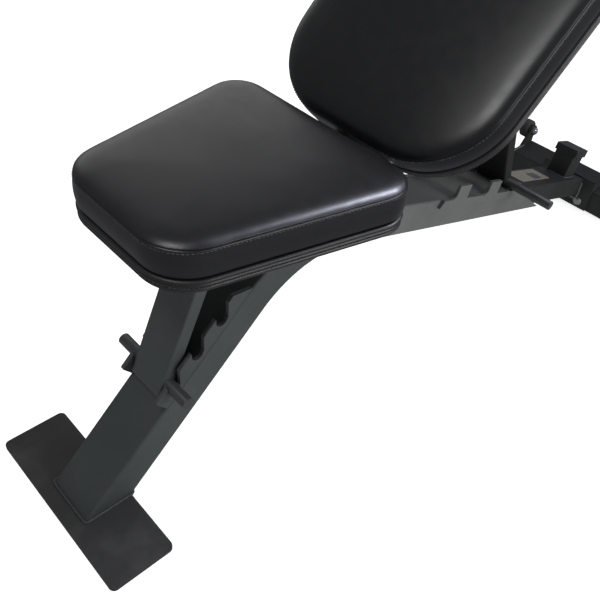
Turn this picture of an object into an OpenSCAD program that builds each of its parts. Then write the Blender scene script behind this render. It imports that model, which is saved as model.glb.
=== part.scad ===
// Adjustable weight bench. Millimetres, +X from the front foot towards the head end, +Z up.
// The origin is on the floor, in the mid-plane, half way along the bench.

/* [Frame] */
// Width of the main rectangular tube
tube_w = 80; // [70:1:90]
// Height of the main rectangular tube
tube_h = 50; // [45:1:55]
// Outer corner radius of the steel tubes
tube_r = 4; // [2:0.5:6]
// Wall of the steel tubes
wall = 3; // [2:0.5:4]
// Angle of the front leg above the floor
leg_angle = 44.3; // [40:0.1:48]
// Fall of the main beam towards the rear foot
beam_angle = 16.7; // [14:0.1:18]
// Length of the leg, from the floor to the knee
leg_len = 455; // [445:1:460]
// Distance from the front foot's edge to the knee
knee_x = 364; // [360:1:370]
// Height of the knee, on the tube's centre line
knee_z = 304.6; // [300:0.2:308]
// Bend radius of the knee, on the centre line
knee_r = 175; // [150:1:200]

/* [Feet] */
// Width of the front foot plate
foot_w = 276; // [240:1:320]
// Depth of the front foot plate
foot_d = 90; // [80:1:110]
// Thickness of the front foot plate
foot_t = 6; // [5:1:8]
// Distance from the front foot's edge to the rear foot tube
rear_x = 1218; // [1200:1:1240]
// Length of the rear foot tube
rear_len = 284; // [260:1:340]
// Radius of the transport wheels
wheel_r = 20; // [18:1:26]
// Width of a transport wheel
wheel_w = 20; // [18:1:24]
// Height of the wheel axle
wheel_z = 78; // [72:1:84]

/* [Ladders] */
// Thickness of the ladder plates
plate_t = 6; // [5:0.5:6]
// Height of the seat ladder above the leg
seat_ladder_h = 24; // [22:1:26]
// Place of the lowest seat notch along the leg
seat_notch = 214; // [212:1:216]
// Distance between the seat notches
seat_pitch = 52; // [50:1:54]
// Place of the rearmost backrest notch along the beam
back_notch = 532; // [530:1:534]
// Distance between the backrest notches
back_pitch = 100; // [96:1:102]
// Height of the backrest ladder above the beam
back_ladder_h = 25; // [24:1:30]

/* [Seat] */
// Front edge of the seat
seat_x = 125; // [120:1:130]
// Height of the seam between the seat board and its cushion
seat_z = 389; // [386:1:392]
// Length of the seat
seat_len = 299; // [295:1:304]
// Width of the seat at its front corners
seat_front_w = 219; // [200:1:230]
// Width of the seat at its rear corners
seat_rear_w = 311; // [290:1:320]
// Thickness of the wrapped board under each cushion
board_t = 18; // [16:1:20]
// Height of a cushion's side wall
foam_t = 37; // [34:1:40]
// Rise of the cushion's crown above its seam
crown = 5; // [3:1:8]

/* [Backrest] */
// Lower edge of the backrest, from the front foot's edge
back_x = 493; // [491:1:500]
// Height of the backrest's lower edge
back_z = 378; // [376:1:384]
// Angle of the backrest above level
back_tilt = 45; // [44:0.5:46]
// Length of the backrest
back_len = 700; // [650:1:760]
// Width of the backrest at its lower corners
back_low_w = 336; // [320:1:340]
// Width of the backrest at its upper corners
back_top_w = 356; // [340:1:360]

/* [Struts] */
// Width of both struts
strut_w = 60; // [56:1:60]
// Depth of the seat strut
seat_strut_d = 20; // [18:1:22]
// Depth of the backrest strut
back_strut_d = 21; // [20:1:30]
// Radius of the two locking bars
bar_r = 8; // [7.5:0.1:8]
// Length of the seat's locking bar
seat_bar_len = 141; // [130:1:150]
// Length of the backrest's locking bar
back_bar_len = 238; // [220:1:250]
// Radius of the hinge bolts
bolt_r = 6; // [5:0.5:6]

/* [Hidden] */
$fn = 48;
fit = 0.05;
slip = 0.5;
plate_y = tube_w / 2;
// hinges and strut pivots, each as [x, z] from the front foot's edge
seat_hinge = [446, 366];
seat_pivot = [230, 322];
seat_low = leg_point(seat_notch, 14);
back_low = beam_point(back_notch, 10);
rail_off = board_t + 20;
rail_y = plate_y + 1 + plate_t + 12.5;
back_hinge = back_point(-16, 20);
back_pivot = back_point(338.6, rail_off);
bend_run = knee_r * tan((leg_angle + beam_angle) / 2);
wheel_x = rear_x + tube_w - 12;
bench_len = wheel_x + wheel_r;
seat_flats = [[178, 226, 190], [350, 390, 240]];
back_flats = [[70, 110, 250], [470, 510, 270]];

// a point s up the leg's front face and n out of it
function leg_point(s, n) = [
    knee_x + (s - leg_len) * cos(leg_angle) - (n + tube_h / 2) * sin(leg_angle),
    knee_z + (s - leg_len) * sin(leg_angle) + (n + tube_h / 2) * cos(leg_angle)];
// a point s down the beam's top face and n above it
function beam_point(s, n) = [
    knee_x + s * cos(beam_angle) + (n + tube_h / 2) * sin(beam_angle),
    knee_z - s * sin(beam_angle) + (n + tube_h / 2) * cos(beam_angle)];
// a point s up the backrest and n behind its seam
function back_point(s, n) = [
    back_x + s * cos(back_tilt) + n * sin(back_tilt),
    back_z + s * sin(back_tilt) - n * cos(back_tilt)];

module bench() translate([-bench_len / 2, 0, 0]) children();
module at(p, y = 0) translate([p[0], y, p[1]]) children();
module in_leg() at(leg_point(0, 0)) rotate([0, -leg_angle, 0]) children();
module in_beam() at(beam_point(0, 0)) rotate([0, beam_angle, 0]) children();
// X runs up the backrest, Z points to its front
module in_back() at([back_x, back_z]) rotate([0, -back_tilt, 0]) children();
module mirrored(side) scale([1, side, 1]) children();
// an upright outline drawn in X and Z, from y to y + t on one side of the mid-plane
module slab(y, t) translate([0, y + t, 0]) rotate([90, 0, 0]) linear_extrude(t) children();
// a round bar along Y, centred on the mid-plane
module cross_bar(p, r, len) at(p) rotate([90, 0, 0]) cylinder(h = len, r = r, center = true);

module rounded_rect(w, h, r) {
    square([w - 2 * r, h], center = true);
    square([w, h - 2 * r], center = true);
    for (sx = [-1, 1], sy = [-1, 1])
        translate([sx * (w / 2 - r), sy * (h / 2 - r)]) circle(r);
}
module tube_section(w, h, t = wall) difference() {
    rounded_rect(w, h, tube_r);
    rounded_rect(w - 2 * t, h - 2 * t, max(tube_r - t, 0.5));
}
// a tube along +X, with its section's width on Y
module tube_run(len, w, h, t = wall) rotate([90, 0, 90]) linear_extrude(len) tube_section(w, h, t);
module pad_outline(len, w0, w1, r0, r1, grow = 0) hull() for (side = [-1, 1]) {
    translate([r0, side * (w0 / 2 - r0)]) circle(r0 + grow);
    translate([len - r1, side * (w1 / 2 - r1)]) circle(r1 + grow);
}
module domed_head(r, h) rotate_extrude() intersection() {
    translate([0, h - r * 1.25]) circle(r * 1.25);
    square([r, h]);
}
module hex_nut(r, h) cylinder(h = h, r = r, $fn = 6);
// a through bolt along Y with a domed head on the right and a nut on the left
module cross_bolt(p, r, grip) at(p) {
    rotate([90, 0, 0]) cylinder(h = grip + 2, r = r, center = true);
    translate([0, -grip / 2, 0]) rotate([90, 0, 0]) domed_head(r * 1.6, r);
    translate([0, grip / 2 + r, 0]) rotate([90, 0, 0]) hex_nut(r * 1.7, r);
}

module front_foot_plate() color("#2e2e2f") bench() translate([foot_d / 2, 0, 0])
    linear_extrude(foot_t) rounded_rect(foot_d, foot_w, 8);

module front_leg_tube() color("#35393a") bench() difference() {
    in_leg() translate([-60, 0, -tube_h / 2]) tube_run(leg_len + 60 - bend_run, tube_w, tube_h);
    translate([-200, -200, foot_t - 200]) cube([500, 400, 200]);
}
module knee_tube() color("#4a4a4b") bench() in_leg()
    translate([leg_len - bend_run, 0, -tube_h / 2 - knee_r]) rotate([90, 0, 0])
        rotate(90 - leg_angle - beam_angle) rotate_extrude(angle = leg_angle + beam_angle)
            translate([knee_r, 0]) rotate(90) tube_section(tube_w, tube_h);
module main_beam_tube() color("#5a5a5b") bench() in_beam() difference() {
    translate([bend_run, 0, -tube_h / 2]) tube_run(702 - bend_run, tube_w, tube_h);
    tail_cut();
}
// everything past the slanting cut at the main beam's tail
module tail_cut() slab(-100, 200) polygon([[557, 0], [540, 7], [540, 60], [760, 60], [760, -80], [696, -50]]);

module rear_beam_tube() color("#3a3a3b") bench() difference() {
    in_beam() translate([490, 0, -tube_h / 2]) tube_run(460, tube_w - 10, tube_h - 10);
    translate([rear_x - plate_t, -100, -50]) cube([200, 200, 200]);
}

module seat_ladder(side) color("#4f4f50") bench() mirrored(side) difference() {
    in_leg() slab(plate_y - plate_t, plate_t)
        polygon([[185, 0], [187, seat_ladder_h - 1], [190, seat_ladder_h], [352, seat_ladder_h], [372, 0]]);
    for (i = [0:2]) at(leg_point(seat_notch + i * seat_pitch, 14)) {
        cross_bar([0, 0], bar_r + slip, 200);
        translate([-bar_r - slip, -100, 0]) cube([2 * (bar_r + slip) + 1.5, 200, 60]);
    }
}
module seat_ladder_left() seat_ladder(1);
module seat_ladder_right() seat_ladder(-1);

// the plate's outline, with each hook's face against the rear of a notch
module back_ladder_outline() difference() {
    polygon([[303, -12], [312, 6], [312, back_ladder_h], [back_notch + 22, back_ladder_h],
             [back_notch + 22, -12]]);
    for (i = [0:2]) {
        face = back_notch - i * back_pitch + bar_r + slip;
        start = i == 2 ? 300 : face - back_pitch + 34;
        translate([start, 10]) square([face - start, 60]);
        translate([start, 1.5]) square([face - start - bar_r - slip, 20]);
        translate([face - bar_r - slip, 10]) circle(bar_r + slip);
    }
    translate([back_notch, 14]) square([60, 60]);
}
module back_ladder(side) color("#5f5f60") bench() mirrored(side) in_beam() difference() {
    slab(plate_y, plate_t) back_ladder_outline();
    slab(0, 80) polygon([[557, 8], [557, 0], [600, -17], [640, 8]]);
}
module back_ladder_left() back_ladder(1);
module back_ladder_right() back_ladder(-1);

module rear_saddle() color("#2c2c2d") bench() difference() {
    union() {
        translate([rear_x - plate_t, -62, 3]) cube([plate_t, 124, 71]);
        translate([rear_x, -62, tube_h]) cube([tube_w - 4, 124, plate_t]);
    }
    for (y = [-40, 40]) translate([rear_x - 50, y, 18]) rotate([0, 90, 0]) cylinder(h = 100, r = bolt_r + slip);
}
module saddle_bolts() color("#c9ccd0") bench() for (y = [-40, 40]) translate([rear_x - plate_t, y, 18]) {
    rotate([0, 90, 0]) cylinder(h = 24, r = bolt_r);
    rotate([0, -90, 0]) domed_head(bolt_r * 1.6, bolt_r);
    translate([plate_t + wall, 0, 0]) rotate([0, 90, 0]) hex_nut(bolt_r * 1.7, bolt_r);
}
module rear_foot_tube() color("#47484a") bench() difference() {
    translate([rear_x + tube_w / 2, rear_len / 2, tube_h / 2]) rotate([90, 0, 0])
        linear_extrude(rear_len) tube_section(tube_w, tube_h);
    for (y = [-40, 40]) translate([rear_x - 5, y, 18]) rotate([0, 90, 0]) cylinder(h = 20, r = bolt_r + slip);
}
module wheel_bracket(side) color("#3a3b3d") bench() mirrored(side) difference() {
    slab(rear_len / 2, plate_t) {
        translate([rear_x + 2, 2]) square([tube_w - 2, tube_h - 4]);
        polygon([[wheel_x - 38, tube_h - 6], [wheel_x - 12, wheel_z + 2], [wheel_x, wheel_z + 12],
                 [wheel_x + 7, wheel_z], [wheel_x + 7, tube_h - 6]]);
        translate([wheel_x, wheel_z]) circle(13);
    }
    cross_bar([wheel_x, wheel_z], 5 + fit, 600);
}
module wheel_bracket_left() wheel_bracket(1);
module wheel_bracket_right() wheel_bracket(-1);
module wheel_axle(side) color("#c9ccd0") bench() mirrored(side) at([wheel_x, wheel_z], rear_len / 2) {
    translate([0, plate_t + wheel_w + 4, 0]) rotate([90, 0, 0]) cylinder(h = plate_t + wheel_w + 12, r = 5);
    translate([0, plate_t + wheel_w + 2, 0]) rotate([-90, 0, 0]) domed_head(8, 5);
    rotate([90, 0, 0]) hex_nut(8.5, 6);
}
module wheel_axle_left() wheel_axle(1);
module wheel_axle_right() wheel_axle(-1);
module at_wheel(side) bench() mirrored(side)
    at([wheel_x, wheel_z], rear_len / 2 + plate_t + 1 + wheel_w / 2) rotate([90, 0, 0]) children();
module wheel_hub(side) color("#6d6f72") at_wheel(side) rotate_extrude()
    polygon([[5 + fit, -wheel_w / 2], [9, -wheel_w / 2], [9, -6], [wheel_r - 7, -6], [wheel_r - 7, -8],
             [wheel_r - 5, -8], [wheel_r - 5, 8], [wheel_r - 7, 8], [wheel_r - 7, 6], [9, 6],
             [9, wheel_w / 2], [5 + fit, wheel_w / 2]]);
module wheel_hub_left() wheel_hub(1);
module wheel_hub_right() wheel_hub(-1);
module wheel_tyre(side) color("#1b1b1c") at_wheel(side) rotate_extrude()
    polygon([[wheel_r - 5, -9], [wheel_r - 2, -9], [wheel_r, -6], [wheel_r, 6], [wheel_r - 2, 9],
             [wheel_r - 5, 9]]);
module wheel_tyre_left() wheel_tyre(1);
module wheel_tyre_right() wheel_tyre(-1);

module stub_post() color("#1f2022") bench() in_beam() translate([829, 0, -5])
    linear_extrude(56) tube_section(44, 44, 2.5);
module stub_post_cap() color("#2b2c2e") bench() in_beam() translate([829, 0, 41]) difference() {
    linear_extrude(14) rounded_rect(50, 50, 4);
    translate([0, 0, -1]) linear_extrude(11) rounded_rect(44 + fit, 44 + fit, 4);
}

module hinge_cheek(side) color("#4a4a4b") bench() mirrored(side) difference() {
    slab(plate_y - 8, 8) {
        polygon([beam_point(84, 0), seat_hinge + [-12.5, 0], seat_hinge + [0, 12], back_hinge + [6, 11],
                 back_hinge + [12.5, 0], beam_point(158, 0)]);
        translate(seat_hinge) circle(13);
        translate(back_hinge) circle(13);
    }
    for (p = [seat_hinge, back_hinge]) cross_bar(p, bolt_r + fit, 200);
}
module hinge_cheek_left() hinge_cheek(1);
module hinge_cheek_right() hinge_cheek(-1);
module seat_hinge_bolt() color("#c9ccd0") bench() cross_bolt(seat_hinge, bolt_r, tube_w);
module back_hinge_bolt() color("#c9ccd0") bench() cross_bolt(back_hinge, bolt_r, tube_w + 2 + 2 * plate_t);
module hinge_spacer() color("#8d9094") bench() difference() {
    cross_bar(back_hinge, 10, tube_w - 17);
    cross_bar(back_hinge, bolt_r + fit, 100);
}

module seat_outline(grow = 0) translate([seat_x, 0])
    pad_outline(seat_len, seat_front_w, seat_rear_w, 58, 38, grow);
module seat_cushion() color("#2b2c2e") bench() translate([0, 0, seat_z]) {
    linear_extrude(foam_t) seat_outline();
    linear_extrude(foam_t + crown) seat_outline(-14);
}
module seat_board() color("#26272a") bench() difference() {
    translate([0, 0, seat_z - board_t]) linear_extrude(board_t) seat_outline();
    screw_rows(seat_flats) translate([0, 0, seat_z - board_t - 1]) cylinder(h = 15, r = 4 + fit);
}
// the two screws at the ends of each flat bar
module screw_rows(flats) for (f = flats, side = [-1, 1])
    translate([(f[0] + f[1]) / 2, side * (f[2] / 2 - 20), 0]) children();
module flat_bar(f, z) difference() {
    translate([f[0], -f[2] / 2, z]) cube([f[1] - f[0], f[2], 5]);
    screw_rows([f]) translate([0, 0, z - 1]) cylinder(h = 7, r = 4 + fit);
}
module seat_flat_front() color("#3c3d3f") bench() flat_bar(seat_flats[0], seat_z - board_t - 5);
module seat_flat_rear() color("#3c3d3f") bench() flat_bar(seat_flats[1], seat_z - board_t - 5);
module pad_screw() {
    cylinder(h = 16, r = 4);
    rotate([180, 0, 0]) domed_head(7, 4.5);
}
module seat_screws() color("#c9ccd0") bench() screw_rows(seat_flats)
    translate([0, 0, seat_z - board_t - 5]) pad_screw();
module seat_rail() color("#3c3d3f") bench() difference() {
    translate([150, 0, seat_z - board_t - 17.5]) tube_run(seat_hinge[0] - 150, 50, 25, 2.5);
    cross_bar(seat_hinge, 12, 200);
}
module seat_hinge_sleeve() color("#3c3d3f") bench() difference() {
    cross_bar(seat_hinge, 12, tube_w - 17);
    cross_bar(seat_hinge, bolt_r + fit, 100);
}
module seat_clevis(side) color("#3c3d3f") bench() mirrored(side) difference() {
    slab(strut_w / 2 + 1, plate_t) {
        polygon([[seat_pivot[0] - 13, seat_pivot[1]], [seat_pivot[0] + 13, seat_pivot[1]],
                 [seat_flats[0][1], seat_z - board_t - 5], [seat_flats[0][0] + 10, seat_z - board_t - 5]]);
        translate(seat_pivot) circle(13);
    }
    cross_bar(seat_pivot, bolt_r + fit, 200);
}
module seat_clevis_left() seat_clevis(1);
module seat_clevis_right() seat_clevis(-1);
module seat_pivot_bolt() color("#c9ccd0") bench() cross_bolt(seat_pivot, bolt_r, strut_w + 2 + 2 * plate_t);

// a strut from its locking bar p to its pivot q, with its foot trimmed by the children
module strut(p, q, depth, foot) {
    lean = atan2(q[0] - p[0], q[1] - p[1]);
    reach = norm(q - p);
    difference() {
        at(p) rotate([0, lean, 0]) translate([0, 0, -foot]) union() {
            linear_extrude(reach + foot) rounded_rect(depth, strut_w, 3);
            translate([0, 0, reach + foot]) rotate([90, 0, 0])
                cylinder(h = strut_w, r = depth / 2, center = true);
        }
        at(p) rotate([0, lean, 0]) translate([0, 0, 14])
            linear_extrude(reach - 32) rounded_rect(depth - 5, strut_w - 5, 1);
        cross_bar(p, bar_r + fit, 200);
        cross_bar(q, bolt_r + fit, 200);
        children();
    }
}
module seat_strut() color("#4a4d4e") bench() strut(seat_low, seat_pivot, seat_strut_d, 20)
    in_leg() translate([0, -100, -48]) cube([500, 200, 50]);
module seat_locking_bar() color("#55585a") bench() cross_bar(seat_low, bar_r, seat_bar_len);
module back_strut() color("#0c0c0c") bench() strut(back_low, back_pivot, back_strut_d, 26)
    in_beam() translate([300, -100, -48]) cube([400, 200, 50]);
module back_locking_bar() color("#2a2b2c") bench() cross_bar(back_low, bar_r, back_bar_len);

module back_outline(grow = 0) pad_outline(back_len, back_low_w, back_top_w, 110, 80, grow);
module back_cushion() color("#1b1c1e") bench() in_back() {
    linear_extrude(foam_t) back_outline();
    linear_extrude(foam_t + crown) back_outline(-14);
}
module back_board() color("#26272a") bench() in_back() difference() {
    translate([0, 0, -board_t]) linear_extrude(board_t) back_outline();
    screw_rows(back_flats) translate([0, 0, -board_t - 1]) cylinder(h = 15, r = 4 + fit);
}
module back_flat_low() color("#3c3d3f") bench() in_back() flat_bar(back_flats[0], -board_t - 5);
module back_flat_high() color("#3c3d3f") bench() in_back() flat_bar(back_flats[1], -board_t - 5);
module back_screws() color("#c9ccd0") bench() in_back() screw_rows(back_flats)
    translate([0, 0, -board_t - 5]) pad_screw();
module back_rail(side) color("#3c3d3f") bench() mirrored(side) difference() {
    in_back() translate([24, rail_y, -rail_off]) tube_run(520, 25, 30, 2.5);
    cross_bar(back_pivot, bolt_r + fit, 200);
}
module back_rail_left() back_rail(1);
module back_rail_right() back_rail(-1);
module back_rail_caps() color("#1c1c1d") bench() in_back() for (end = [21, 544], side = [-1, 1])
    translate([end, side * rail_y, -rail_off]) rotate([90, 0, 90]) linear_extrude(3) rounded_rect(25, 30, 3);
module back_lug(side) color("#3c3d3f") bench() mirrored(side) difference() {
    slab(plate_y + 1, plate_t) {
        polygon([back_point(-10, 12), back_point(-16, 31), back_point(60, rail_off + 12),
                 back_point(95, rail_off + 6), back_point(95, rail_off - 12), back_point(30, rail_off - 14),
                 back_point(-2, board_t + 1)]);
        translate(back_hinge) circle(12);
    }
    cross_bar(back_hinge, bolt_r + fit, 200);
}
module back_lug_left() back_lug(1);
module back_lug_right() back_lug(-1);
module back_pivot_bolt() color("#c9ccd0") bench() cross_bolt(back_pivot, bolt_r, 2 * rail_y + 25);
module pivot_spacers() color("#8d9094") bench() for (side = [-1, 1]) difference() {
    at(back_pivot, side * 38.75) rotate([90, 0, 0]) cylinder(h = 16.5, r = 10, center = true);
    cross_bar(back_pivot, bolt_r + fit, 100);
}

front_foot_plate();
front_leg_tube();
knee_tube();
main_beam_tube();
rear_beam_tube();
seat_ladder_left();
seat_ladder_right();
back_ladder_left();
back_ladder_right();
rear_saddle();
saddle_bolts();
rear_foot_tube();
wheel_bracket_left();
wheel_bracket_right();
wheel_axle_left();
wheel_axle_right();
stub_post();
stub_post_cap();
hinge_cheek_left();
hinge_cheek_right();
seat_hinge_bolt();
back_hinge_bolt();
hinge_spacer();
wheel_hub_left();
wheel_tyre_left();
wheel_hub_right();
wheel_tyre_right();
seat_cushion();
seat_board();
seat_flat_front();
seat_flat_rear();
seat_rail();
seat_hinge_sleeve();
seat_clevis_left();
seat_clevis_right();
seat_pivot_bolt();
seat_screws();
seat_strut();
seat_locking_bar();
back_cushion();
back_board();
back_flat_low();
back_flat_high();
back_rail_left();
back_rail_right();
back_lug_left();
back_lug_right();
back_pivot_bolt();
pivot_spacers();
back_screws();
back_rail_caps();
back_strut();
back_locking_bar();
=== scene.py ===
"""Looks of the adjustable weight bench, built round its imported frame.

Metres, +X from the front foot towards the head end, +Z up. Pad details are worked out in
millimetres in the pad's own frame: x up the pad, z out of its face from the board's seam.
"""

import math

import bmesh
import bpy
import numpy as np
from mathutils import Matrix, Vector, noise


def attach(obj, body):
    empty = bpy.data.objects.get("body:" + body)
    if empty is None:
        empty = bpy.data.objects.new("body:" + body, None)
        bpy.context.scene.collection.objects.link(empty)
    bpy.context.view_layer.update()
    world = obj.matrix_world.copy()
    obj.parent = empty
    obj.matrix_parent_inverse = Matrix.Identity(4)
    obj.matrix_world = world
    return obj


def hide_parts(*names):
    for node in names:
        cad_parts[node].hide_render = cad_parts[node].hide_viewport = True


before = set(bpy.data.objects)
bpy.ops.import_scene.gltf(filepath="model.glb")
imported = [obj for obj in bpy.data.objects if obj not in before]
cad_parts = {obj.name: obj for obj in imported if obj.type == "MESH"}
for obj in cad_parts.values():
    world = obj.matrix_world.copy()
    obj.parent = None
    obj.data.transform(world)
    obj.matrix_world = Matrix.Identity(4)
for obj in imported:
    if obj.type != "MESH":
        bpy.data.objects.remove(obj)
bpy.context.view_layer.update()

MM = 0.001
HALF_BENCH = 653.0
BEAM_FALL = math.radians(16.7)
LEG_RISE = math.radians(44.3)
LEG_LENGTH = 455.0
KNEE = (364.0, 304.6)
TUBE_H = 50.0
REAR_X = 1218.0
BRACKET_SIDE = 141.6
BOARD_UNDERSIDE = -16.8
BOARD_TOP = -0.3
BARE_INSET = 32.5
CUSHION_BASE = 0.4
SEAM_TOP = 38.4
ROLL_RISE = 5.2
ROLL_REACH = 6.5
STITCH_PITCH = 4.6
STITCH_LENGTH = 3.3


# ---------------------------------------------------------------- colour and nodes

def linear(hex_colour):
    """An sRGB hex colour as linear RGBA."""
    parts = [int(hex_colour[i:i + 2], 16) / 255 for i in (1, 3, 5)]
    return [c / 12.92 if c <= 0.04045 else ((c + 0.055) / 1.055) ** 2.4 for c in parts] + [1.0]


def add(tree, kind, settings=None, links=None, values=None):
    """Adds one node with its settings, its input values and its incoming links."""
    made = tree.nodes.new(kind)
    for key, value in (settings or {}).items():
        setattr(made, key, value)
    for key, value in (values or {}).items():
        made.inputs[key].default_value = value
    for key, source in (links or {}).items():
        tree.links.new(source, made.inputs[key])
    return made


def ramp(tree, source, stops):
    """A colour ramp from (position, hex colour) stops."""
    made = add(tree, "ShaderNodeValToRGB", links={"Fac": source})
    band = made.color_ramp.elements
    while len(band) < len(stops):
        band.new(0.5)
    for element, (place, colour) in zip(band, stops):
        element.position = place
        element.color = linear(colour)
    return made.outputs["Color"]


def span(tree, source, low, high, from_low=0.0, from_high=1.0):
    """Maps a value's range to low..high."""
    made = add(tree, "ShaderNodeMapRange", links={"Value": source}, values={
        "From Min": from_low, "From Max": from_high, "To Min": low, "To Max": high})
    return made.outputs["Result"]


def new_material(name, roughness=0.5, metallic=0.0, ior=1.5, **sockets):
    """A Principled material, its shader, and the object's own coordinates."""
    made = bpy.data.materials.new(name)
    made.use_nodes = True
    tree = made.node_tree
    shader = tree.nodes["Principled BSDF"]
    shader.inputs["Roughness"].default_value = roughness
    shader.inputs["Metallic"].default_value = metallic
    shader.inputs["IOR"].default_value = ior
    for key, value in sockets.items():
        shader.inputs[key.replace("_", " ")].default_value = value
    place = add(tree, "ShaderNodeTexCoord").outputs["Object"]
    return made, tree, shader, place


def grain(tree, place, per_mm, detail=3.0, kind="ShaderNodeTexNoise"):
    """A noise or cell pattern with about per_mm features in a millimetre."""
    settings = {"voronoi_dimensions": "3D"} if kind == "ShaderNodeTexVoronoi" else {}
    values = {"Scale": per_mm / MM}
    if kind == "ShaderNodeTexNoise":
        values["Detail"] = detail
    made = add(tree, kind, settings, {"Vector": place}, values)
    return made.outputs["Fac" if kind == "ShaderNodeTexNoise" else "Distance"]


def bump(tree, shader, heights):
    """Chains (height, strength, depth in millimetres) into the shader's normal."""
    normal = None
    for height, strength, depth in heights:
        links = {"Height": height}
        if normal:
            links["Normal"] = normal
        made = add(tree, "ShaderNodeBump", links=links, values={
            "Strength": strength, "Distance": depth * MM})
        normal = made.outputs["Normal"]
    tree.links.new(normal, shader.inputs["Normal"])


def upholstery_vinyl(name, dark, light, roughness, stretch):
    """PU-coated upholstery fabric, embossed with a fine pebble grain and pulled over foam.

    It gives a soft blurred sheen with sharper glints on the tight edges. The pebbles are
    0.6 mm on the real skin and drawn at 1.4 mm so that they show."""
    made, tree, shader, place = new_material(name, roughness=roughness, ior=1.5)
    shade = grain(tree, place, 0.02, 4.0)
    tree.links.new(ramp(tree, shade, [(0.3, dark), (0.7, light)]), shader.inputs["Base Color"])
    pebbles = grain(tree, place, 0.7, kind="ShaderNodeTexVoronoi")
    haze = grain(tree, place, 0.06, 3.0)
    tree.links.new(span(tree, haze, roughness - 0.02, roughness + 0.03, 0.3, 0.7),
                   shader.inputs["Roughness"])
    bump(tree, shader, [(grain(tree, place, 0.012, 1.0), stretch, 1.2), (pebbles, 0.12, 0.12)])
    return made


def powder_coat(name, dark, light, roughness=0.5, dust=0.0, gloss=0.5):
    """Polyester powder baked on steel tube: matt satin with orange peel of about 1.5 mm.

    Dust lies on faces that look up."""
    made, tree, shader, place = new_material(name, roughness=roughness, Specular_IOR_Level=gloss)
    mottle = grain(tree, place, 0.012, 5.0)
    colour = ramp(tree, mottle, [(0.3, dark), (0.72, light)])
    if dust:
        geometry = add(tree, "ShaderNodeNewGeometry")
        upward = add(tree, "ShaderNodeSeparateXYZ", links={"Vector": geometry.outputs["Normal"]})
        smears = span(tree, grain(tree, place, 0.016, 6.0), 0.0, 1.0, 0.5, 0.68)
        facing = span(tree, upward.outputs["Z"], 0.0, dust, 0.7, 1.0)
        cover = add(tree, "ShaderNodeMath", {"operation": "MULTIPLY"}, {0: smears, 1: facing})
        dusty = add(tree, "ShaderNodeMix", {"data_type": "RGBA"}, {"Factor": cover.outputs[0]})
        tree.links.new(colour, dusty.inputs["A"])
        dusty.inputs["B"].default_value = linear("#868686")
        colour = dusty.outputs["Result"]
    tree.links.new(colour, shader.inputs["Base Color"])
    rough = span(tree, grain(tree, place, 0.05, 4.0), roughness - 0.07, roughness + 0.1, 0.3, 0.7)
    tree.links.new(rough, shader.inputs["Roughness"])
    bump(tree, shader, [(grain(tree, place, 0.35, 2.0), 0.22, 0.25)])
    return made


def zinc_plate(name):
    """Bright zinc on rolled steel: silvery with faint blue-grey blooms and turning marks."""
    made, tree, shader, place = new_material(name, roughness=0.28, metallic=1.0)
    bloom = grain(tree, place, 0.15, 4.0)
    tree.links.new(ramp(tree, bloom, [(0.3, "#b3b8bd"), (0.7, "#dfe2e4")]),
                   shader.inputs["Base Color"])
    tree.links.new(span(tree, bloom, 0.2, 0.42), shader.inputs["Roughness"])
    bump(tree, shader, [(grain(tree, place, 1.2, 2.0), 0.15, 0.06)])
    return made


def moulded_plastic(name, dark, light, roughness=0.5):
    """Injection-moulded polypropylene with a fine spark-eroded texture."""
    made, tree, shader, place = new_material(name, roughness=roughness, ior=1.49)
    tree.links.new(ramp(tree, grain(tree, place, 0.05, 4.0), [(0.3, dark), (0.7, light)]),
                   shader.inputs["Base Color"])
    bump(tree, shader, [(grain(tree, place, 0.9, 2.0), 0.25, 0.1)])
    return made


def tread_rubber(name):
    """Moulded black rubber, dull and slightly grey where it has rolled."""
    made, tree, shader, place = new_material(name, roughness=0.8, ior=1.52)
    tree.links.new(ramp(tree, grain(tree, place, 0.04, 6.0), [(0.35, "#161616"), (0.7, "#2b2a29")]),
                   shader.inputs["Base Color"])
    bump(tree, shader, [(grain(tree, place, 0.6, 4.0), 0.4, 0.2)])
    return made


def pressed_board(name):
    """Black-stained plywood under the pad, rough and dull."""
    made, tree, shader, place = new_material(name, roughness=0.85)
    tree.links.new(ramp(tree, grain(tree, place, 0.5, 6.0), [(0.35, "#191817"), (0.7, "#2c2a28")]),
                   shader.inputs["Base Color"])
    bump(tree, shader, [(grain(tree, place, 0.8, 6.0), 0.5, 0.2)])
    return made


def bonded_thread(name):
    """Twisted polyester thread, three plies to a stitch. Its plies run from black up to a light
    grey, and the grey is painted highlight standing for the seam's thin glint.
    """
    made, tree, shader, place = new_material(name, roughness=0.55)
    twist = add(tree, "ShaderNodeTexWave", {"bands_direction": "DIAGONAL"}, {"Vector": place}, {
        "Scale": 0.25 / MM, "Distortion": 1.0})
    # The light grey stop is painted highlight; the dark stop is the thread's own black.
    tree.links.new(ramp(tree, twist.outputs["Fac"], [(0.2, "#1c1c1f"), (0.8, "#58585c")]),
                   shader.inputs["Base Color"])
    bump(tree, shader, [(twist.outputs["Fac"], 0.5, 0.1)])
    return made


def label_paper(name):
    """A blank cream paper label, sun-yellowed, with a plain grey patch and no print."""
    made, tree, shader, place = new_material(name, roughness=0.45)
    tree.links.new(ramp(tree, grain(tree, place, 0.04, 4.0), [(0.3, "#8f8a7f"), (0.7, "#aaa599")]),
                   shader.inputs["Base Color"])
    bump(tree, shader, [(grain(tree, place, 0.3, 4.0), 0.1, 0.1)])
    return made


def studio_paper(name):
    """Seamless white backdrop film lit from beneath, matt, which keeps the shadows faint."""
    made, tree, shader, place = new_material(name, roughness=0.9)
    cloud = grain(tree, place, 0.0008, 2.0)
    tree.links.new(ramp(tree, cloud, [(0.3, "#f3f3f3"), (0.7, "#f6f6f6")]),
                   shader.inputs["Base Color"])
    shader.inputs["Emission Color"].default_value = linear("#ffffff")
    shader.inputs["Emission Strength"].default_value = 0.8
    return made


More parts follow.
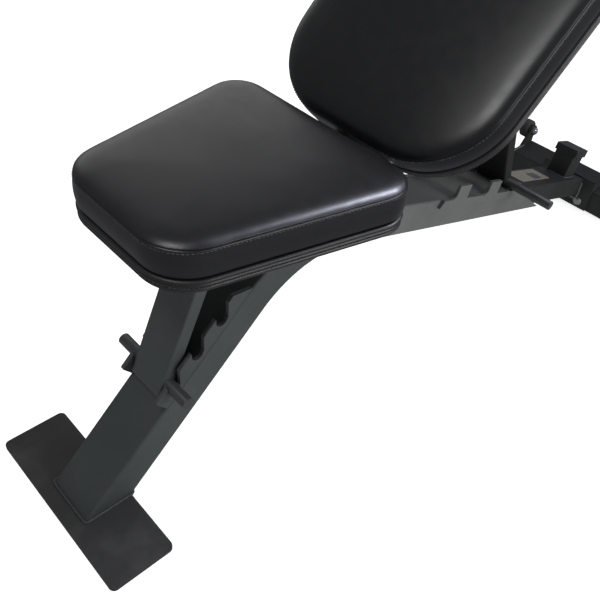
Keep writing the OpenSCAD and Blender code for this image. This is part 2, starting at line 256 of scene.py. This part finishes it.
SEAT_VINYL = upholstery_vinyl("vinyl_seat", "#161619", "#1a1a1d", 0.34, 0.08)
# Darker copy of the seat vinyl for the backrest: painted shade for its dimmer reflections.
BACK_VINYL_PAINTED_SHADE = upholstery_vinyl("vinyl_back_painted_shade", "#0b0c0f", "#0e0f12", 0.34, 0.08)
EDGE_VINYL = upholstery_vinyl("vinyl_edge", "#1c1c1e", "#212123", 0.42, 0.08)
# Lighter copy of the frame's one powder coat for the beam, back ladders, cheeks and welds: painted
# light for how brightly they are lit.
FRAME_COAT_PAINTED_LIGHT = powder_coat("powder_coat_frame_painted_light", "#565757", "#5e5f5e")
LEG_COAT = powder_coat("powder_coat_leg", "#393e3e", "#404444", 0.54, gloss=0.38)
# Darker copy of the frame's powder coat for the rear tube, stub post, saddle, foot tube and wheel
# brackets: painted shade.
REAR_COAT_PAINTED_SHADE = powder_coat("powder_coat_rear_painted_shade", "#272828", "#2d2e2e", 0.56, gloss=0.22)
FOOT_COAT = powder_coat("powder_coat_foot", "#2c2c2d", "#323233", 0.54, dust=0.1, gloss=0.38)
# Near-black copy of the frame's powder coat for the back strut: painted shade for the shadow under
# the backrest.
STRUT_COAT_PAINTED_SHADE = powder_coat("powder_coat_strut_painted_shade", "#171818", "#1d1e1e", 0.46, gloss=0.35)
BAR_COAT = powder_coat("powder_coat_bar", "#333536", "#3a3c3c", 0.46)
PAD_STEEL = powder_coat("powder_coat_pad_steel", "#303132", "#373839")
ZINC = zinc_plate("zinc_bolt")
SPACER = zinc_plate("zinc_spacer")
CAP_PLASTIC = moulded_plastic("plastic_cap", "#18191b", "#222325", 0.42)
HUB_PLASTIC = moulded_plastic("plastic_hub", "#4b4d50", "#5a5c5f", 0.45)
RUBBER = tread_rubber("rubber_tyre")
BOARD = pressed_board("board_underside")
THREAD_WITH_PAINTED_HIGHLIGHT = bonded_thread("thread_black_painted_highlight")
LABEL = label_paper("label_paper")
PATCH = moulded_plastic("label_grey_patch", "#4c4e4f", "#5a5c5d", 0.4)
FLOOR = studio_paper("backdrop_paper")


# ---------------------------------------------------------------- mesh helpers

def make_piece(name, verts, faces, material, body, smooth=True):
    """A mesh piece from points in metres in the bench's frame, riding on a body."""
    mesh = bpy.data.meshes.new(name)
    mesh.from_pydata([tuple(v) for v in verts], [], faces)
    mesh.validate()
    build = bmesh.new()
    build.from_mesh(mesh)
    bmesh.ops.recalc_face_normals(build, faces=build.faces)
    build.to_mesh(mesh)
    build.free()
    for face in mesh.polygons:
        face.use_smooth = smooth
    mesh.materials.append(material)
    piece = bpy.data.objects.new(name, mesh)
    bpy.context.scene.collection.objects.link(piece)
    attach(piece, body)
    return piece


def loft(rings, closed=True):
    """Faces between rings of equal counts, each ring a closed loop."""
    count = len(rings[0])
    verts = [p for ring in rings for p in ring]
    faces = []
    last = count if closed else count - 1
    for r in range(len(rings) - 1):
        for i in range(last):
            j = (i + 1) % count
            faces.append((r * count + i, r * count + j, (r + 1) * count + j, (r + 1) * count + i))
    return verts, faces


def sweep(path, radius, sides=8, closed=False, lumps=0.0, lump_pitch=3.2):
    """A tube along points in metres, lumpy like a weld bead when lumps is set."""
    points = [Vector(p) for p in path]
    count = len(points)
    rings, travelled = [], 0.0
    up = None
    for i, point in enumerate(points):
        ahead = points[(i + 1) % count] if closed or i < count - 1 else point
        behind = points[i - 1] if closed or i > 0 else point
        along = (ahead - behind).normalized()
        if up is None:
            up = along.orthogonal().normalized()
        up = (up - along * up.dot(along)).normalized()
        side = along.cross(up)
        if i:
            travelled += (point - points[i - 1]).length
        size = radius
        if lumps:
            size *= 1 - lumps + lumps * abs(math.sin(math.pi * travelled / (lump_pitch * MM)))
            size *= 1 + 0.18 * noise.noise(point * 180)
        rings.append([point + (up * math.cos(a) + side * math.sin(a)) * size
                      for a in (2 * math.pi * k / sides for k in range(sides))])
    if closed:
        rings.append(rings[0])
    verts, faces = loft(rings)
    if closed:
        kept = len(verts) - sides
        verts = verts[:kept]
        faces = [tuple(v % kept for v in face) for face in faces]
    else:
        faces.append(tuple(range(sides))[::-1])
        faces.append(tuple(range(len(verts) - sides, len(verts))))
    return verts, faces


def join_parts(parts):
    """Several (verts, faces) as one."""
    verts, faces = [], []
    for more, sides in parts:
        base = len(verts)
        verts += list(more)
        faces += [tuple(base + v for v in face) for face in sides]
    return verts, faces


def resample(points, step):
    """Points along a polyline in metres, about step apart."""
    made = []
    for start, end in zip(points, points[1:]):
        start, end = Vector(start), Vector(end)
        count = max(1, round((end - start).length / step))
        made += [start.lerp(end, k / count) for k in range(count)]
    return made + [Vector(points[-1])]


def at_mm(x, y, z):
    """A point given in millimetres from the front foot's edge, in the bench's frame."""
    return Vector(((x - HALF_BENCH) * MM, y * MM, z * MM))


def leg_point(s, y, n):
    """A point s up the leg's front face, y across and n out of the face."""
    x = KNEE[0] + (s - LEG_LENGTH) * math.cos(LEG_RISE) - (n + TUBE_H / 2) * math.sin(LEG_RISE)
    z = KNEE[1] + (s - LEG_LENGTH) * math.sin(LEG_RISE) + (n + TUBE_H / 2) * math.cos(LEG_RISE)
    return at_mm(x, y, z)


def beam_point(s, y, n):
    """A point s down the beam's top face, y across and n above it."""
    x = KNEE[0] + s * math.cos(BEAM_FALL) + (n + TUBE_H / 2) * math.sin(BEAM_FALL)
    z = KNEE[1] - s * math.sin(BEAM_FALL) + (n + TUBE_H / 2) * math.cos(BEAM_FALL)
    return at_mm(x, y, z)


# ---------------------------------------------------------------- pads

class Pad:
    """One upholstered pad: a rounded trapezium on a wrapped board."""

    def __init__(self, name, body, place, length, low_w, top_w, low_r, top_r, across, along):
        self.name, self.body, self.place = name, body, place
        low_y, top_y = low_w / 2 - low_r, top_w / 2 - top_r
        circles = [(low_r, -low_y, low_r), (length - top_r, -top_y, top_r),
                   (length - top_r, top_y, top_r), (low_r, low_y, low_r)]
        self.dense = self.hull_of(circles)
        self.across, self.along = across, along
        self.outline, self.normals = self.spread()

    def hull_of(self, circles):
        """Points round the belt that goes over the four corner circles."""
        points = []
        for k in range(1440):
            angle = 2 * math.pi * (k + 0.5) / 1440
            way = np.array([math.cos(angle), math.sin(angle)])
            best = max(circles, key=lambda c: c[0] * way[0] + c[1] * way[1] + c[2])
            points.append(np.array(best[:2]) + best[2] * way)
        points = np.array(points + points[:1])
        steps = np.r_[0, np.cumsum(np.linalg.norm(np.diff(points, axis=0), axis=1))]
        where = np.linspace(0, steps[-1], 1600, endpoint=False)
        return np.c_[np.interp(where, steps, points[:, 0]), np.interp(where, steps, points[:, 1])]

    def spread(self):
        """The outline at even steps on each side, from the corner at low x and low y."""
        centre, size = self.dense.mean(0), np.ptp(self.dense, axis=0)
        marks = []
        for way in ((-1, -1), (1, -1), (1, 1), (-1, 1)):
            away = ((self.dense - centre) / size) @ np.array(way)
            marks.append(int(away.argmax()))
        made = []
        total = len(self.dense)
        for k, count in enumerate((self.along, self.across, self.along, self.across)):
            first, last = marks[k], marks[(k + 1) % 4]
            if last <= first:
                last += total
            run = self.dense[[i % total for i in range(first, last + 1)]]
            steps = np.r_[0, np.cumsum(np.linalg.norm(np.diff(run, axis=0), axis=1))]
            where = np.linspace(0, steps[-1], count + 1)[:-1]
            made.append(np.c_[np.interp(where, steps, run[:, 0]),
                              np.interp(where, steps, run[:, 1])])
        points = np.vstack(made)
        tangent = np.roll(points, -1, 0) - np.roll(points, 1, 0)
        tangent /= np.linalg.norm(tangent, axis=1)[:, None]
        return points, np.c_[tangent[:, 1], -tangent[:, 0]]

    def ring(self, out, height):
        """The outline moved out by out, at a height, in the pad's millimetres."""
        moved = self.outline + self.normals * out
        return np.c_[moved, np.full(len(moved), float(height))]

    def patch(self, ring):
        """Interior grid points of a smooth patch over a ring, row by row along x."""
        a, c = self.along, self.across
        right = np.vstack([ring[:a + 1]])
        far = np.vstack([ring[a:a + c + 1]])
        left = np.vstack([ring[a + c:2 * a + c + 1]])[::-1]
        near = np.vstack([ring[2 * a + c:], ring[:1]])[::-1]
        rows = []
        for i in range(a + 1):
            u = i / a
            for j in range(c + 1):
                v = j / c
                flat = (1 - v) * right[i] + v * left[i] + (1 - u) * near[j] + u * far[j]
                flat = flat - ((1 - u) * (1 - v) * right[0] + u * (1 - v) * right[a]
                               + (1 - u) * v * left[0] + u * v * left[a])
                rows.append(flat)
        return np.array(rows).reshape(a + 1, c + 1, 3)

    def cap(self, verts, ring_start, ring, height_of):
        """Closes a ring with a grid of quads. Adds its inner points to verts and returns faces."""
        a, c = self.along, self.across
        grid = self.patch(ring)
        index = {}
        for i in range(a + 1):
            for j in range(c + 1):
                if j == 0:
                    index[i, j] = ring_start + i
                elif i == a:
                    index[i, j] = ring_start + a + j
                elif j == c:
                    index[i, j] = ring_start + a + c + (a - i)
                elif i == 0:
                    index[i, j] = ring_start + (2 * a + c + (c - j)) % (2 * (a + c))
                else:
                    point = grid[i, j].copy()
                    point[2] = height_of(point)
                    index[i, j] = len(verts)
                    verts.append(point)
        return [(index[i, j], index[i + 1, j], index[i + 1, j + 1], index[i, j + 1])
                for i in range(a) for j in range(c)]

    def depth_in(self, point):
        """How far a point lies inside the outline."""
        return float(np.min(np.hypot(self.dense[:, 0] - point[0], self.dense[:, 1] - point[1])))

    def to_bench(self, point):
        return self.place @ Vector([float(c) * MM for c in point])

    def solid(self, name, profile, under, over, material, slot):
        """A closed piece: a profile of (out, height) round the outline, capped on both ends."""
        rings = [self.ring(out, height) for out, height in profile]
        verts, faces = loft(rings)
        verts = list(verts)
        count = len(self.outline)
        faces += self.cap(verts, 0, rings[0], under)
        faces += self.cap(verts, (len(rings) - 1) * count, rings[-1], over)
        return make_piece(name, [self.to_bench(v) for v in verts], faces, material, self.body)

    def track(self, out):
        """The closed outline moved out by out, and how far round each point lies."""
        loop = self.outline + self.normals * out
        loop = np.vstack([loop, loop[:1]])
        return loop, np.r_[0, np.cumsum(np.linalg.norm(np.diff(loop, axis=0), axis=1))]

    def stitches(self, name, out, height, slot):
        """A row of thread stitches along the outline."""
        loop, steps = self.track(out)
        count = int(steps[-1] // STITCH_PITCH)
        pitch = steps[-1] / count
        parts = []
        for k in range(count):
            where = [k * pitch + STITCH_LENGTH * f for f in (0.0, 0.22, 0.5, 0.78, 1.0)]
            line = [(np.interp(w % steps[-1], steps, loop[:, 0]),
                     np.interp(w % steps[-1], steps, loop[:, 1])) for w in where]
            rings = []
            for f, size, point in zip((0, 1, 2, 3, 4), (0.16, 0.42, 0.5, 0.42, 0.16), line):
                ahead = Vector((line[min(f + 1, 4)][0] - line[max(f - 1, 0)][0],
                                line[min(f + 1, 4)][1] - line[max(f - 1, 0)][1], 0)).normalized()
                outward = Vector((ahead.y, -ahead.x, 0))
                base = Vector((point[0], point[1], height)) + outward * (size - 0.25)
                rings.append([self.to_bench(base + outward * size * math.cos(t)
                                            + Vector((0, 0, 1)) * size * math.sin(t))
                              for t in (math.pi * m / 3 for m in range(6))])
            verts, faces = loft(rings)
            faces.append(tuple(range(6))[::-1])
            faces.append(tuple(range(len(verts) - 6, len(verts))))
            parts.append((verts, faces))
        verts, faces = join_parts(parts)
        return make_piece(name, verts, faces, THREAD_WITH_PAINTED_HIGHLIGHT, self.body)

    def staples(self, name, inset, height, pitch, slot):
        """Wire staples that hold the wrapped skin under the board."""
        loop, steps = self.track(-inset)
        count = int(steps[-1] // pitch)
        parts = []
        for k in range(count):
            where = (k + 0.5) * steps[-1] / count
            ends = []
            for offset in (-5.0, 5.0):
                spot = (where + offset) % steps[-1]
                ends.append(Vector((np.interp(spot, steps, loop[:, 0]),
                                    np.interp(spot, steps, loop[:, 1]), height)))
            rise = Vector((0, 0, 0.8))
            path = [ends[0] + rise, ends[0], ends[0].lerp(ends[1], 0.08) - rise * 0.5,
                    ends[0].lerp(ends[1], 0.92) - rise * 0.5, ends[1], ends[1] + rise]
            parts.append(sweep([self.to_bench(p) for p in path], 0.45 * MM, 6))
        verts, faces = join_parts(parts)
        return make_piece(name, verts, faces, ZINC, self.body)


SEAT_PLACE = Matrix.Translation(at_mm(125, 0, 389))
BACK_PLACE = Matrix.Translation(at_mm(493, 0, 378)) @ Matrix.Rotation(math.radians(-45), 4, "Y")
SEAT = Pad("seat", "seat", SEAT_PLACE, 299, 219, 311, 58, 38, 48, 48)
BACKREST = Pad("back", "backrest", BACK_PLACE, 700, 336, 356, 110, 80, 48, 90)

# out and height of a cushion's skin: tucked under, bulging side band, seam, rolled top edge
CUSHION_PROFILE = [
    (-12.0, 0.4), (-5.0, 0.4), (-2.6, 0.6), (-1.0, 1.4), (0.1, 2.8), (0.9, 5.0), (1.7, 9.0),
    (2.3, 14.0), (2.5, 19.0), (2.2, 24.5), (1.5, 29.5), (1.0, 32.5), (0.9, 34.4), (0.6, 35.4),
    (-0.7, 36.2), (-1.5, 36.7), (-1.4, 37.3), (-0.2, 37.7), (0.4, 38.2)]
EDGE_STEPS = (0.9, 2.0, 3.6, 5.6, 8.2, 11.5, 15.5, 20.5)
# out and height of the wrapped board: stapled rim, lower corner, two cord ridges, welt
BOARD_PROFILE = [
    (-34.0, -16.8), (-33.0, -16.9), (-32.0, -17.9), (-20.0, -18.0), (-7.0, -18.0), (-3.4, -17.8),
    (-1.4, -17.0), (-0.3, -15.6), (0.1, -14.4), (0.9, -13.8), (1.3, -12.9), (1.2, -11.9),
    (0.5, -11.2), (0.2, -10.4), (0.5, -9.6), (1.2, -8.9), (1.3, -7.9), (0.9, -7.1), (0.1, -6.5),
    (0.2, -5.6), (1.1, -4.9), (1.8, -3.9), (1.9, -2.8), (1.4, -1.7), (0.2, -1.0), (-1.6, -0.6),
    (-4.0, -0.4), (-12.0, -0.3)]


def rolled(inside, rise, reach):
    """A cushion's height at a distance inside its seam: a rolled edge, then a slow swell."""
    roll = ROLL_RISE * (1 - math.exp(-inside / ROLL_REACH))
    return SEAM_TOP + roll + rise * (1 - math.exp(-inside / reach))


def crowned(pad, rise, reach):
    """The height of a cushion's top over its inner points, with shallow dimples in the foam."""
    def height(point):
        inside = pad.depth_in(point)
        dimple = 0.4 * noise.noise(Vector((point[0] * 0.015, point[1] * 0.015, rise)))
        return rolled(inside, rise, reach) + dimple * min(1.0, max(inside - 20.0, 0.0) / 40.0)
    return height


def pucker(piece, pad, depth):
    """Pulls small gathers into the skin beside the top seam and the lower tuck."""
    for vertex in piece.data.vertices:
        x, y, z = (c / MM for c in pad.place.inverted() @ vertex.co)
        near_seam = math.exp(-((z - 37.0) / (5.0 if z < 37 else 4.0)) ** 2)
        near_tuck = math.exp(-((z - 2.0) / 7.0) ** 2)
        if near_seam + near_tuck < 0.02:
            continue
        spread = noise.noise(Vector((x * 0.085, y * 0.085, 3.1))) + 0.5 * noise.noise(
            Vector((x * 0.2, y * 0.2, 7.7)))
        away = Vector((x - pad.dense[:, 0].mean(), y * 1.4, 0)).normalized()
        shift = away * spread * depth * MM * (near_seam + 0.6 * near_tuck)
        vertex.co += pad.place.to_3x3() @ shift


def finish_cushion(piece, pad, node):
    """Settles a cushion: gathers and one subdivision, and hides the imported cushion it stands in
    for.
    """
    pucker(piece, pad, 0.55)
    smooth = piece.modifiers.new("smooth_skin", "SUBSURF")
    smooth.levels = smooth.render_levels = 1
    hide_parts(node)


def build_pad(pad, rise, reach, vinyl, cushion_node, board_node):
    """A cushion and its wrapped board, with stitches and staples."""
    profile = CUSHION_PROFILE + [(-inside, rolled(inside, rise, reach)) for inside in EDGE_STEPS]
    cushion = pad.solid(pad.name + "_cushion_skin", profile, lambda p: CUSHION_BASE,
                        crowned(pad, rise, reach), vinyl, "vinyl_foam")
    finish_cushion(cushion, pad, cushion_node)
    board = pad.solid(pad.name + "_board_wrap", BOARD_PROFILE, lambda p: BOARD_UNDERSIDE,
                      lambda p: BOARD_TOP, EDGE_VINYL, "wrapped_board")
    board.data.materials.append(BOARD)
    for face in board.data.polygons:
        x, y, z = (c / MM for c in pad.place.inverted() @ face.center)
        if abs(z - BOARD_UNDERSIDE) < 0.3 and pad.depth_in((x, y)) > BARE_INSET:
            face.material_index = 1
    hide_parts(board_node)
    pad.stitches(pad.name + "_top_stitching", 0.95, 33.6, "vinyl_foam")
    pad.stitches(pad.name + "_edge_stitching", 0.25, -10.4, "wrapped_board")
    pad.staples(pad.name + "_staples", 22.0, -18.05, 24.0, "zinc_steel")


build_pad(SEAT, 4.2, 34.0, SEAT_VINYL, "seat_cushion", "seat_board")
build_pad(BACKREST, 8.2, 44.0, BACK_VINYL_PAINTED_SHADE, "back_cushion", "back_board")


# ---------------------------------------------------------------- steel details

def weld(name, points, body, closed=False, radius=2.3, material=FRAME_COAT_PAINTED_LIGHT):
    """A MIG bead under the powder coat, with ripples 3 mm apart."""
    path = resample(points + points[:1] if closed else points, 0.8 * MM)
    if closed:
        path = path[:-1]
    verts, faces = sweep(path, radius * MM, 8, closed, lumps=0.22)
    return make_piece(name, verts, faces, material, body)


def rounded_loop(corner_of, half_a, half_b, radius):
    """A rounded rectangle through corner_of(a, b)."""
    points = []
    for quarter, (sa, sb) in enumerate(((1, 1), (-1, 1), (-1, -1), (1, -1))):
        for k in range(5):
            angle = math.pi / 2 * (quarter + k / 4)
            points.append(corner_of(sa * (half_a - radius) + radius * math.cos(angle),
                                    sb * (half_b - radius) + radius * math.sin(angle)))
    return points


leg_foot = rounded_loop(lambda a, b: at_mm(58 + a, b, 6.6), 36.4, 41.0, 5)
weld("weld_leg_to_foot", leg_foot, "frame", closed=True, radius=2.2, material=LEG_COAT)
for side, label in ((1, "left"), (-1, "right")):
    weld("weld_seat_ladder_" + label,
         [leg_point(s, side * 33.6, 0.4) for s in (190, 366)], "frame", radius=1.9)
    weld("weld_cheek_" + label, [beam_point(s, side * 31.6, 0.4) for s in (108, 156)],
         "frame", radius=2.0)
    weld("weld_wheel_bracket_" + label,
         [at_mm(REAR_X + along, side * BRACKET_SIDE, up)
          for along, up in ((0.6, 4), (0.6, 47), (4, 50.2), (41, 50.4))],
         "frame", radius=2.0)
weld("weld_beam_to_saddle",
     rounded_loop(lambda a, b: at_mm(REAR_X - 6.6, a, 42.5 + b), 35.4, 20.8, 5),
     "frame", closed=True)
weld("weld_stub_post", rounded_loop(lambda a, b: beam_point(829 + a, b, -4.6), 20.6, 20.6, 4),
     "frame", closed=True, radius=2.0)
weld("weld_beam_tail", [beam_point(556, -35.2, -4.4), beam_point(556, 35.2, -4.4)],
     "frame", radius=2.2)


def sticker(name, s0, s1, y0, y1, lift, material):
    """A thin label with rounded corners on the rear beam's top face."""
    outline = []
    corners = ((s1 - 3, y1 - 3), (s0 + 3, y1 - 3), (s0 + 3, y0 + 3), (s1 - 3, y0 + 3))
    for quarter, (cx, cy) in enumerate(corners):
        outline += [(cx + 3 * math.cos(a), cy + 3 * math.sin(a))
                    for a in (math.pi / 2 * (quarter + k / 5) for k in range(6))]
    low = [beam_point(s, y, -4.98 + lift) for s, y in outline]
    high = [beam_point(s, y, -4.7 + lift) for s, y in outline]
    verts, faces = loft([low, high])
    count = len(outline)
    faces += [tuple(range(count))[::-1], tuple(range(count, 2 * count))]
    return make_piece(name, verts, faces, material, "frame", smooth=False)


sticker("blank_label", 636, 752, -14, 27, 0.0, LABEL)
sticker("blank_label_patch", 694, 726, -10, 12, 0.3, PATCH)

BRIGHT_BOLTS = ["saddle_bolts", "wheel_axle_left", "wheel_axle_right", "seat_hinge_bolt",
                "back_hinge_bolt", "seat_pivot_bolt", "back_pivot_bolt", "seat_screws",
                "back_screws"]
# The frame coat on these parts is made lighter as painted light.
finishes = {name: FRAME_COAT_PAINTED_LIGHT for name in (
    "main_beam_tube", "back_ladder_left", "back_ladder_right", "hinge_cheek_left",
    "hinge_cheek_right")}
finishes.update({name: LEG_COAT for name in (
    "front_leg_tube", "knee_tube", "seat_ladder_left", "seat_ladder_right")})
# The rear parts' darker coat is painted shade.
finishes.update({name: REAR_COAT_PAINTED_SHADE for name in (
    "rear_beam_tube", "stub_post", "rear_saddle", "rear_foot_tube", "wheel_bracket_left",
    "wheel_bracket_right")})
finishes.update({name: ZINC for name in BRIGHT_BOLTS})
finishes.update({name: SPACER for name in ("hinge_spacer", "pivot_spacers")})
finishes.update({name: PAD_STEEL for name in (
    "seat_flat_front", "seat_flat_rear", "seat_rail", "seat_hinge_sleeve", "seat_clevis_left",
    "seat_clevis_right", "back_flat_low", "back_flat_high", "back_rail_left", "back_rail_right",
    "back_lug_left", "back_lug_right")})
finishes.update({name: CAP_PLASTIC for name in ("stub_post_cap", "back_rail_caps")})
finishes.update({name: HUB_PLASTIC for name in ("wheel_hub_left", "wheel_hub_right")})
finishes.update({name: RUBBER for name in ("wheel_tyre_left", "wheel_tyre_right")})
# The back strut's near-black coat is painted shade.
finishes.update({"front_foot_plate": FOOT_COAT, "seat_strut": LEG_COAT, "back_strut": STRUT_COAT_PAINTED_SHADE,
                 "seat_locking_bar": BAR_COAT, "back_locking_bar": BAR_COAT,
                 "seat_cushion": SEAT_VINYL, "back_cushion": BACK_VINYL_PAINTED_SHADE,
                 "seat_board": EDGE_VINYL, "back_board": EDGE_VINYL})
SHARP_PLATES = {
    "front_foot_plate": 1.2, "seat_ladder_left": 0.7, "seat_ladder_right": 0.7,
    "back_ladder_left": 0.7, "back_ladder_right": 0.7, "rear_saddle": 0.8,
    "wheel_bracket_left": 0.7, "wheel_bracket_right": 0.7,
    "hinge_cheek_left": 0.7, "hinge_cheek_right": 0.7,
    "back_lug_left": 0.7, "back_lug_right": 0.7, "seat_clevis_left": 0.7, "seat_clevis_right": 0.7,
    "seat_flat_front": 0.8, "seat_flat_rear": 0.8, "back_flat_low": 0.8, "back_flat_high": 0.8,
    "seat_locking_bar": 1.0, "back_locking_bar": 1.0, "stub_post_cap": 1.2, "main_beam_tube": 0.5,
    "seat_strut": 0.6, "back_strut": 0.6}
for name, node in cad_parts.items():
    node.data.materials.clear()
    node.data.materials.append(finishes[name])
    if name in SHARP_PLATES:
        node.modifiers.new("weld_points", "WELD").merge_threshold = 0.00002
        edge = node.modifiers.new("eased_edges", "BEVEL")
        edge.width = SHARP_PLATES[name] * MM
        edge.segments = 2
        edge.limit_method = "ANGLE"
        edge.angle_limit = math.radians(40)


# ---------------------------------------------------------------- floor, light, camera

def floor_sheet():
    """The pale floor under the feet, hidden from glossy surfaces so the coats stay dark."""
    build = bmesh.new()
    bmesh.ops.create_grid(build, x_segments=2, y_segments=2, size=9.0)
    mesh = bpy.data.meshes.new("backdrop")
    build.to_mesh(mesh)
    build.free()
    mesh.materials.append(FLOOR)
    sheet = bpy.data.objects.new("backdrop", mesh)
    sheet.location.z = -0.0006
    sheet.visible_glossy = False
    bpy.context.scene.collection.objects.link(sheet)


def softbox(name, place, aim, width, height, power, glint=False):
    """An area light. A glint only shows in shiny skins and adds no light of its own."""
    lamp = bpy.data.lights.new(name, "AREA")
    lamp.shape = "RECTANGLE"
    lamp.size, lamp.size_y, lamp.energy = width, height, power
    holder = bpy.data.objects.new(name, lamp)
    holder.location = place
    holder.rotation_euler = (Vector(aim) - Vector(place)).to_track_quat("-Z", "Y").to_euler()
    holder.visible_diffuse = not glint
    lamp.color = linear("#e9edff")[:3] if glint else (1.0, 1.0, 1.0)
    bpy.context.scene.collection.objects.link(holder)


floor_sheet()
softbox("key_right", (0.9, -3.2, 1.3), (0.0, 0.0, 0.35), 2.4, 1.2, 60)
softbox("sheen_far", (0.9, 2.7, 1.4), (-0.35, 0.0, 0.43), 2.6, 1.6, 12)
softbox("glint_head", (1.05, -0.6, 2.2), (-0.3, -0.1, 0.43), 0.45, 0.45, 58, glint=True)
softbox("top_front", (-1.3, -0.1, 2.5), (-0.1, -0.1, 0.5), 0.7, 0.7, 17)
world = bpy.data.worlds.new("studio_air")
world.use_nodes = True
world.node_tree.nodes["Background"].inputs["Color"].default_value = linear("#f4f5f7")
world.node_tree.nodes["Background"].inputs["Strength"].default_value = 0.2
bpy.context.scene.world = world
bpy.context.scene.view_settings.view_transform = "Standard"

lens = bpy.data.cameras.new("camera")
lens.lens, lens.sensor_width = 43.02, 36.0
camera = bpy.data.objects.new("camera", lens)
camera.location = (-0.809, -0.532, 0.851)
camera.rotation_euler = [math.radians(a) for a in (47.62, -4.80, -42.73)]
bpy.context.scene.collection.objects.link(camera)
bpy.context.scene.camera = camera
